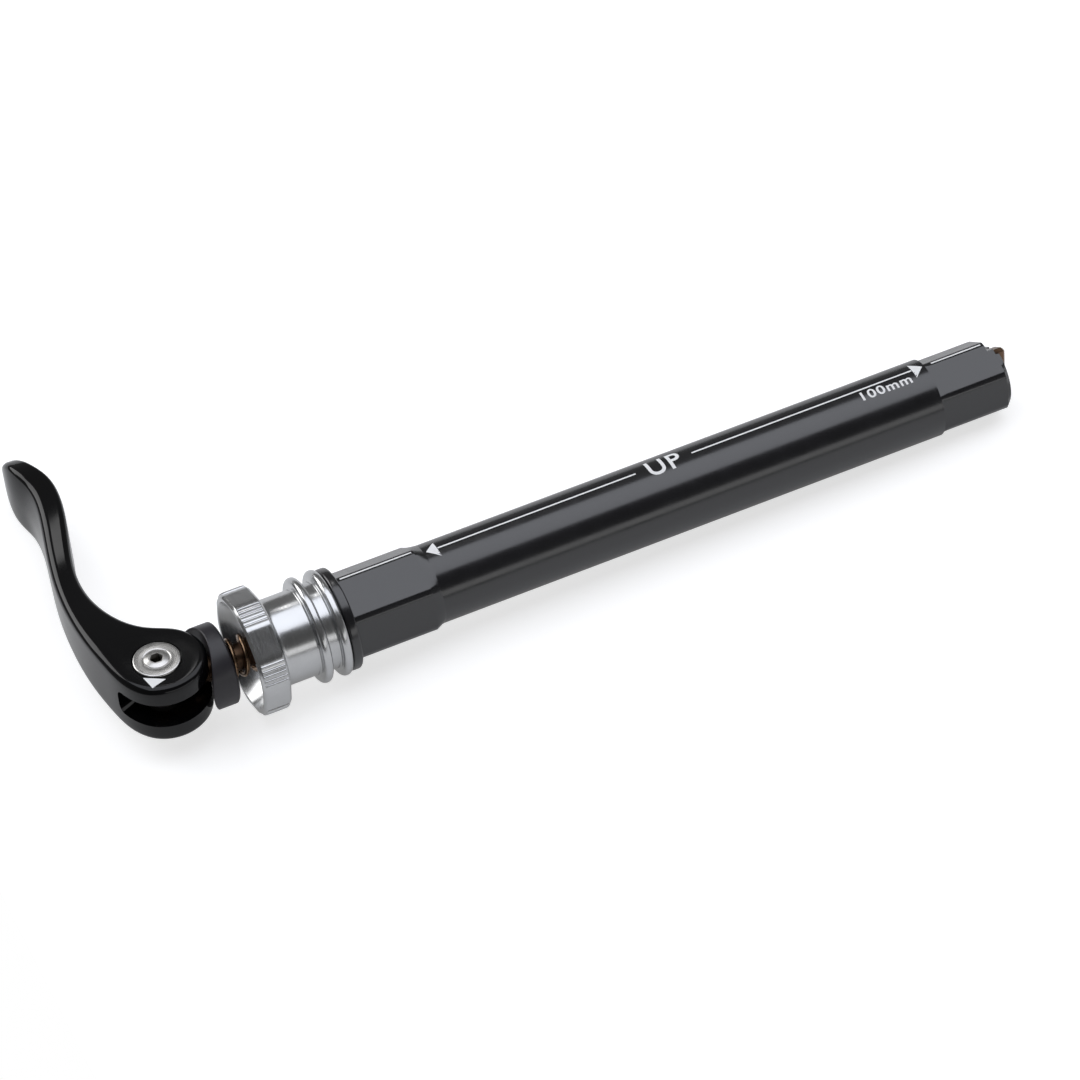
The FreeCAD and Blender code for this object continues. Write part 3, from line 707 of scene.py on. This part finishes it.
lever = {
    "camHigh": 9.1, "camLift": 1.5, "camSwing": 140.0, "camSteps": 10,
    "outer": [(8.8, 4.5, 0.0), (9.6, 11.5, 0.0), (8.9, 29.4, 0.3), (6.5, 41.4, 0.6), (5.2, 54.4, 1.2),
              (6.0, 62.9, 0.6), (4.1, 68.9, 0.0)],
    "inner": [(2.2, 62.9), (-0.4, 54.4), (1.25, 41.4), (4.2, 29.4), (2.9, 16.4), (-1.9, 9.2), (-6.3, 6.2)],
    "heights": [(-18.2, 6.5), (0.0, 6.5), (9.1, 6.5), (29.4, 5.5), (44.0, 6.35), (54.4, 6.72), (62.9, 5.6),
                (67.4, 0.0)],
    "round": 1.3, "roundAt": (42.0, 56.0, 61.0, 66.0), "rounds": (1.3, 0.75, 0.8, 1.5), "roundMost": 0.85,
    "edgeLeans": (15, 30, 45, 60, 75, 90), "sideRings": 11, "stations": 220, "across": 8,
    "planSamples": 4001, "sideSamples": 8001,
    "reach": 67.4, "cheek": 6.5, "crownLevel": 6.7, "lowCrown": 0.35,
    "slotHalf": 2.65, "slotBack": 3.289, "slotOuterBack": 0.173, "slotRun": 8.8, "slotReach": 40.0,
    "slotRound": 1.6, "slotLeans": (-90, -68, -45, -22, 0, 0, 22, 45, 68, 90),
    "bore": 2.61, "boreSteps": 128, "boreReach": 12.0, "recess": 4.6, "recessFloor": 5.7,
}


def naturalSpline(points, closed, samples):
    # cubic curve through the points over their chord lengths
    points = np.array(points, float)
    if closed:
        points = np.vstack([points, points[:1]])
    chord = np.concatenate([[0], np.cumsum(np.linalg.norm(np.diff(points, axis=0), axis=1))])
    count = len(points)
    step = np.diff(chord)
    system = np.zeros((count, count))
    right = np.zeros((count, points.shape[1]))
    slope = np.diff(points, axis=0) / step[:, None]
    for index in range(1, count - 1):
        system[index, index - 1:index + 2] = step[index], 2 * (step[index - 1] + step[index]), step[index - 1]
        right[index] = 3 * (step[index] * slope[index - 1] + step[index - 1] * slope[index])
    if closed:
        system[0, 0], system[0, -1] = 1, -1
        system[-1, 0] += 2 * step[-1]
        system[-1, 1] += step[-1]
        system[-1, -2] += step[0]
        system[-1, -1] += 2 * step[0]
        right[-1] = 3 * (step[-1] * slope[0] + step[0] * slope[-1])
    else:
        system[0, 0], system[0, 1] = 2 * step[0], step[0]
        right[0] = 3 * step[0] * slope[0]
        system[-1, -1], system[-1, -2] = 2 * step[-1], step[-1]
        right[-1] = 3 * step[-1] * slope[-1]
    tangent = np.linalg.solve(system, right)
    places = np.linspace(0, chord[-1], samples)
    spans = np.clip(np.searchsorted(chord, places, side="right") - 1, 0, count - 2)
    width = step[spans]
    local = ((places - chord[spans]) / width)[:, None]
    first, last = points[spans], points[spans + 1]
    startSlope, endSlope = tangent[spans] * width[:, None], tangent[spans + 1] * width[:, None]
    return ((2 * local ** 3 - 3 * local ** 2 + 1) * first + (local ** 3 - 2 * local ** 2 + local) * startSlope
            + (-2 * local ** 3 + 3 * local ** 2) * last + (local ** 3 - local ** 2) * endSlope)


def leverPlan(crownShare):
    plan = []
    for step in range(lever["camSteps"] + 1):
        share = step / lever["camSteps"]
        radius = lever["camHigh"] - lever["camLift"] * share
        angle = math.radians(-lever["camSwing"] * share)
        plan.append((radius * math.cos(angle), radius * math.sin(angle)))
    plan += [(-(offset - crown * crownShare), reach) for offset, reach, crown in lever["outer"]]
    plan += [(-offset, reach) for offset, reach in lever["inner"]]
    return naturalSpline(plan, True, lever["planSamples"])[:-1]


def leverSides(crownShare, stations):
    # across positions of the outer and inner side at each station along the handle
    plan = leverPlan(crownShare)
    low, high = int(np.argmin(plan[:, 1])), int(np.argmax(plan[:, 1]))
    outer = plan[low:high + 1]
    inner = np.vstack([plan[high:], plan[:low + 1]])[::-1]
    return np.interp(stations, outer[:, 1], outer[:, 0]), np.interp(stations, inner[:, 1], inner[:, 0])


def leverSkin(stations, height, rounding):
    flatOuter, flatInner = leverSides(0.0, stations)
    fullOuter, fullInner = leverSides(1.0, stations)
    # outward normals of the plan, for the inset of the rounded edges
    loop = np.vstack([np.c_[flatOuter, stations], np.c_[flatInner, stations][::-1]])
    along = np.roll(loop, -1, axis=0) - np.roll(loop, 1, axis=0)
    along /= np.maximum(np.linalg.norm(along, axis=1), 1e-9)[:, None]
    normal = np.c_[along[:, 1], -along[:, 0]]
    if np.sum(normal[:, 0] * loop[:, 0]) < 0:
        normal = -normal
    rounds = np.concatenate([rounding, rounding[::-1]])
    upright = np.concatenate([height, height[::-1]]) - rounds
    crown = np.concatenate([fullOuter - flatOuter, (fullInner - flatInner)[::-1]])
    rings = [(share * upright, 0.0 * rounds) for share in np.linspace(-1, 1, lever["sideRings"])]
    for lean in np.radians(lever["edgeLeans"]):
        level, inset = upright + rounds * math.sin(lean), rounds * (1 - math.cos(lean))
        rings.append((level, inset))
        rings.insert(0, (-level, inset))
    verts = []
    for level, inset in rings:
        flat = loop - normal * inset[:, None]
        share = np.where(level > 0, 1.0, lever["lowCrown"])  # the paddle's outer side leans out below
        across = flat[:, 0] + crown * share * (level / lever["crownLevel"]) ** 2
        verts += list(np.c_[across, flat[:, 1], level])
    size = len(loop)
    faces = bandFaces(len(rings), size)
    # top and bottom: strips between the two sides
    for ring in (0, len(rings) - 1):
        lines = []
        for step in range(len(stations)):
            first, last = ring * size + step, ring * size + size - 1 - step
            row = [first]
            for share in np.linspace(0, 1, lever["across"] + 1)[1:-1]:
                verts.append(verts[first] * (1 - share) + verts[last] * share)
                row.append(len(verts) - 1)
            lines.append(row + [last])
        for here, there in zip(lines, lines[1:]):
            faces += [(here[k], here[k + 1], there[k + 1], there[k]) for k in range(lever["across"])]
    return np.array(verts), faces


def leverCutters():
    # the slot's outer end is rounded where it meets the cheeks
    far, bend, back = lever["slotReach"], lever["slotRound"], lever["slotBack"]
    layers, leans = [], np.radians(lever["slotLeans"])
    for index, lean in enumerate(leans):
        flat = (lever["slotHalf"] - bend) * (-1 if index < len(leans) // 2 else 1)
        edge = lever["slotOuterBack"] - bend * (1 - math.cos(lean))
        plan = [(far, -far), (far, back), (0, back), (-lever["slotRun"], edge), (-far, edge), (-far, -far)]
        layers.append((flat + bend * math.sin(lean), [(x + pivotX, y) for x, y in plan]))
    cutters = [stackMesh("lever_slot", layers)]
    floor, past = lever["recessFloor"], lever["boreReach"]
    for radius, low, high in ((lever["bore"], -past, past), (lever["recess"], floor, past),
                              (lever["recess"], -past, -floor)):
        circle = [(pivotX + radius * math.cos(angle), radius * math.sin(angle))
                  for angle in ringAngles(lever["boreSteps"])]
        cutters.append(stackMesh("lever_bore", [(low, circle), (high, circle)]))
    return cutters


def makeLever():
    front = float(leverPlan(0.0)[:, 1].min())
    spread = (1 - np.cos(np.linspace(0, math.pi, lever["stations"]))) / 2
    stations = front + (lever["reach"] - front) * spread
    mirrored = [(reach, -size) for reach, size in lever["heights"][-2::-1]]
    side = naturalSpline(lever["heights"] + mirrored, False, lever["sideSamples"])
    side = side[:int(np.argmax(side[:, 0])) + 1]
    height = np.maximum(np.interp(stations, side[:, 0], side[:, 1]), 0.0)
    rounding = np.minimum(np.interp(stations, lever["roundAt"], lever["rounds"]), height * lever["roundMost"])
    verts, faces = leverSkin(stations, height, rounding)
    verts = (verts + np.array([pivotX, 0, 0])) * mm
    mesh = cutMesh(meshFrom("cam_lever_skin", verts.tolist(), faces), leverCutters())
    finishPiece("cam_lever_body", mesh, "lever_black", "lever", ["cam_lever"], 30.0)


makeLever()


# pivot bolt

bolt = {
    "segments": 180, "head": 4.4, "top": 7.0, "floor": 5.7, "chamfer": 0.35, "chamferLeans": (0, 22, 45, 68, 90),
    "shank": 1.8, "end": -6.65, "endChamfer": 0.2, "socketFlats": 2.1, "socketDepth": 2.0, "socketCone": 0.3,
    "lip": 0.06, "bossLand": 1.38, "bossRadius": 2.25, "bossRise": 0.26, "bossGroove": 0.25, "grooveDepth": 0.1,
    "ease": 0.02, "easeRun": 0.1,
}


def makeBolt():
    socket = flatLimit(bolt["segments"], bolt["socketFlats"], 0.0)
    top, land, boss = bolt["top"], bolt["bossLand"], bolt["bossRadius"]
    lip, ease, run = bolt["lip"], bolt["ease"], bolt["easeRun"]
    face, rim = top - bolt["bossRise"], boss + bolt["bossGroove"]
    low, bottom = face - bolt["grooveDepth"], top - bolt["socketDepth"]
    rings = [(bottom - bolt["socketCone"], 0.0), (bottom, socket), (top - lip, socket), (top, socket + lip),
             (top, land), (top - ease, land + run), (face, boss), (low, boss + lip), (low, rim),
             (face - ease, rim + run), (face, rim + 2 * run)]
    head, cut, shank, end = bolt["head"], bolt["chamfer"], bolt["shank"], bolt["end"]
    for lean in np.radians(bolt["chamferLeans"]):
        rings.append((face - cut + cut * math.cos(lean), head - cut + cut * math.sin(lean)))
    rings += [(bolt["floor"], head), (bolt["floor"], shank), (end + bolt["endChamfer"], shank),
              (end, shank - bolt["endChamfer"]), (end, 0.0)]
    mesh = polarMesh("pivot_bolt_skin", rings, bolt["segments"], "Z", pivotX, closed=False)
    finishPiece("pivot_bolt_body", mesh, "stainless", "lever", ["pivot_bolt"], 30.0)


makeBolt()


# marks printed on the axle tube and on the lever

marks = {
    "lift": 0.012, "clock": 4.5, "lineWidth": 0.36, "leftLine": (-48.3, -8.5), "rightLine": (2.9, 48.3),
    "tip": 50.55, "tipHalf": 0.02, "headLength": 2.15, "headHalf": 2.1,
    "stripSteps": 8, "stripSides": (-1, -0.6, -0.2, 0.2, 0.6, 1),
    "cornerLines": [("near", (-67.4, -53.3), tube["nearCorner"]), ("far", (52.5, 62.9), tube["farCorner"])],
    "cornerWidth": 0.36, "cornerSteps": 4,
    "upSpan": (-6.1, 0.6), "upHeight": 4.3, "upWeight": 0.012,
    "widthSpan": (37.0, 47.3), "widthHeight": 2.1, "widthDrop": 1.75, "widthWeight": 0.018,
    "letterSpacing": 1.12, "letterSteps": 6, "textCuts": 14,
    "triangle": [(-3.86, -3.09), (-0.34, -5.34), (-3.3, -6.25)], "triangleSteps": 8,
}


def wrapped(points, radius=tube["journalRadius"], clock=marks["clock"]):
    # flat (along, around) in mm to a place on the tube, around counted towards +Y
    spots = []
    for along, around in points:
        angle = math.radians(clock) + around / radius
        reach = radius + marks["lift"]
        spots.append((along * mm, reach * math.sin(angle) * mm, reach * math.cos(angle) * mm))
    return spots


def flatStrip(span, halves, steps):
    # flat strip along the tube whose half width goes from the first to the second of halves
    sides = marks["stripSides"]
    width = len(sides)
    verts, faces = [], []
    for step in range(steps + 1):
        share = step / steps
        half = halves[0] + (halves[1] - halves[0]) * share
        verts += [(span[0] + (span[1] - span[0]) * share, side * half) for side in sides]
    for base in range(0, steps * width, width):
        faces += [(base + k, base + k + 1, base + k + 1 + width, base + k + width) for k in range(width - 1)]
    return verts, faces


def printMark(name, mesh, body):
    finishPiece(name, mesh, "white_print", body)
    if sum(face.normal.z * face.area for face in mesh.polygons) < 0:  # an open sheet has to face outwards
        mesh.flip_normals()


def makeMark(name, spots, faces, body="axle"):
    printMark(name, meshFrom(name, spots, faces), body)


def makeText(name, words, weight, span, height, middle):
    curve = bpy.data.curves.new(name, "FONT")
    curve.body = words
    curve.size = 1.0
    curve.resolution_u = marks["letterSteps"]
    curve.offset = weight
    curve.space_character = marks["letterSpacing"]
    mesh = resultOf(addObject(name, curve))
    # cut across, so that the letters follow the round tube
    fine = bmesh.new()
    fine.from_mesh(mesh)
    ys = [vertex.co.y for vertex in fine.verts]
    for level in np.linspace(min(ys), max(ys), marks["textCuts"])[1:-1]:
        everything = fine.verts[:] + fine.edges[:] + fine.faces[:]
        bmesh.ops.bisect_plane(fine, geom=everything, plane_co=(0, level, 0), plane_no=(0, 1, 0))
    fine.to_mesh(mesh)
    fine.free()
    xs = [vertex.co.x for vertex in mesh.vertices]
    flat = []
    for vertex in mesh.vertices:
        along = span[0] + (vertex.co.x - min(xs)) / (max(xs) - min(xs)) * (span[1] - span[0])
        around = middle + ((vertex.co.y - min(ys)) / (max(ys) - min(ys)) - 0.5) * height
        flat.append((along, around))
    for vertex, spot in zip(mesh.vertices, wrapped(flat)):
        vertex.co = spot
    printMark(name, mesh, "axle")


def makeLeverMark():
    # small triangle laid on the lever's top, following its rounded edge
    plan = leverPlan(0.0)
    first, second, third = (np.array(corner) for corner in marks["triangle"])
    steps, size = marks["triangleSteps"], lever["round"]
    top = lever["cheek"] + marks["lift"]
    spots, places = [], {}
    for row in range(steps + 1):
        for column in range(row + 1):
            flat = first + (second - first) * (row - column) / steps + (third - first) * column / steps
            inset = min(float(np.linalg.norm(plan - flat, axis=1).min()), size)
            drop = size - math.sqrt(size ** 2 - (size - inset) ** 2)
            places[row, column] = len(spots)
            spots.append(((flat[0] + pivotX) * mm, flat[1] * mm, (top - drop) * mm))
    faces = []
    for row in range(steps):
        for column in range(row + 1):
            faces.append((places[row, column], places[row + 1, column], places[row + 1, column + 1]))
            if column < row:
                faces.append((places[row, column], places[row + 1, column + 1], places[row, column + 1]))
    makeMark("mark_lever", spots, faces, "lever")


def makeMarks():
    for name, span in (("line_left", marks["leftLine"]), ("line_right", marks["rightLine"])):
        verts, faces = flatStrip(span, [marks["lineWidth"] / 2] * 2, marks["stripSteps"])
        makeMark("mark_" + name, wrapped(verts), faces)
    for name, side in (("arrow_left", -1), ("arrow_right", 1)):
        span = (side * (marks["tip"] - marks["headLength"]), side * marks["tip"])
        verts, faces = flatStrip(span, (marks["headHalf"], marks["tipHalf"]), marks["stripSteps"])
        makeMark("mark_" + name, wrapped(verts), faces)
    for name, span, radius in marks["cornerLines"]:
        verts, faces = flatStrip(span, [marks["cornerWidth"] / 2] * 2, marks["cornerSteps"])
        makeMark("mark_corner_" + name, wrapped(verts, radius, hexClock), faces)
    makeText("mark_up", "UP", marks["upWeight"], marks["upSpan"], marks["upHeight"], 0.0)
    makeText("mark_width", "100mm", marks["widthWeight"], marks["widthSpan"], marks["widthHeight"],
             -marks["widthDrop"])
    makeLeverMark()


makeMarks()


# finishes of the solids that stay as they are

for row in frame["record"]["subparts"]:
    node = frame["nodes"][row["node"]]
    for holder in node.material_slots:
        holder.material = finishes[row["material_slot"]]
print("solids painted")


# floor, light and camera

studio = {
    # three places where the part touches the floor
    "floor": [(-0.0839, 0.0015, -0.01167), (0.0644, -0.0003, -0.00735), (-0.1053, 0.0585, -0.00673)],
    "floorSize": 6.0, "floorLeft": 0.06, "floorGlow": 0.68, "floorShine": 0.24, "floorRough": 0.9,
    "floorCloud": 3.0, "floorLook": {"dark": (0.54, 0.54, 0.54, 1), "light": (0.56, 0.56, 0.56, 1)},
    "roomFront": 0.09, "roomBack": 0.17, "roomSpan": (-0.4, 0.6),
    "lights": [  # name, place, aim, width and depth, radiance, colour
        ("top_soft_box", (0.2, -0.005, 0.8), (0.2, -0.005, 0.0), (1.9, 0.8), 1.55, (0.97, 1.0, 1.08)),
        ("front_card", (0.3, -1.1, 0.14), (0.0, 0.0, 0.02), (1.6, 0.3), 1.0, (1, 1, 1)),
        ("left_card", (-0.65, 0.85, 0.6), (-0.11, 0.03, 0.0), (0.8, 0.75), 2.9, (1, 1, 1)),
        ("neck_card", (0.11, 0.594, 0.8), (-0.11, 0.042, 0.006), (0.11, 0.16), 2.7, (1, 1, 1)),
    ],
    "camera": (-0.277931, -0.655467, 0.664780), "right": (0.90436, -0.42009, -0.07517),
    "up": (0.33987, 0.60240, 0.72219), "back": (-0.25811, -0.67866, 0.68756),
    "lens": 176.43, "sensor": 36.0, "clipStart": 0.01,
}


def makeFloor():
    first, second, third = (Vector(spot) for spot in studio["floor"])
    normal = (second - first).cross(third - first).normalized()
    if normal.z < 0:
        normal = -normal
    side = Vector((1, 0, 0)) - normal * normal.x
    side.normalize()
    other = normal.cross(side)
    size, left = studio["floorSize"] / 2, studio["floorLeft"]
    corners = ((-left, -size), (size, -size), (size, size), (-left, size))
    mesh = meshFrom("pale_floor", [tuple(first + side * a + other * b) for a, b in corners], [(0, 1, 2, 3)])
    material, graph, shader = newFinish("pale_floor")
    # the floor glows less to what shines, so the tube's underside stays dark
    seen = graph.add("ShaderNodeLightPath")
    feed(graph, shader, colour=shade(graph, speckle(graph, studio["floorCloud"]), studio["floorLook"]),
         glow=seen * (studio["floorGlow"] - studio["floorShine"]) + studio["floorShine"])
    shader.inputs["Emission Strength"].default_value = 1.0
    shader.inputs["Roughness"].default_value = studio["floorRough"]
    shader.inputs["Specular IOR Level"].default_value = 0.0
    mesh.materials.append(material)
    floor = addObject("pale_floor", mesh)


def makeLights():
    # the room is pale to the camera, and dim in front and grey behind to what shines
    world = bpy.data.worlds.new("studio")
    bpy.context.scene.world = world
    world.use_nodes = True
    graph = Graph(world.node_tree)
    backdrop = world.node_tree.nodes["Background"]
    heading = graph.add("ShaderNodeTexCoord")
    depth = graph.add("ShaderNodeSeparateXYZ", None, {0: heading}, output=1)
    room = fitted(graph, depth, studio["roomSpan"], (studio["roomFront"], studio["roomBack"]))
    seen = graph.add("ShaderNodeLightPath")
    level = room * (1 - seen) + seen
    backdrop.inputs["Color"].default_value = (1, 1, 1, 1)
    world.node_tree.links.new(level.socket, backdrop.inputs["Strength"])
    for name, spot, aim, size, radiance, colour in studio["lights"]:
        lamp = bpy.data.lights.new(name, "AREA")
        lamp.shape = "RECTANGLE"
        lamp.size, lamp.size_y = size
        lamp.energy = radiance * math.pi * size[0] * size[1]
        lamp.color = colour
        holder = addObject(name, lamp)
        holder.location = spot
        holder.rotation_euler = (Vector(aim) - Vector(spot)).to_track_quat("-Z", "Y").to_euler()
        holder.visible_camera = False


def makeCamera():
    lens = bpy.data.cameras.new("photo_camera")
    lens.lens = studio["lens"]
    lens.sensor_width = studio["sensor"]
    lens.clip_start = studio["clipStart"]
    camera = addObject("photo_camera", lens)
    turn = Matrix((studio["right"], studio["up"], studio["back"])).transposed().to_4x4()
    camera.matrix_world = Matrix.Translation(studio["camera"]) @ turn
    bpy.context.scene.camera = camera
    bpy.context.scene.view_settings.view_transform = "Standard"


makeFloor()
makeLights()
makeCamera()
print("studio ready")
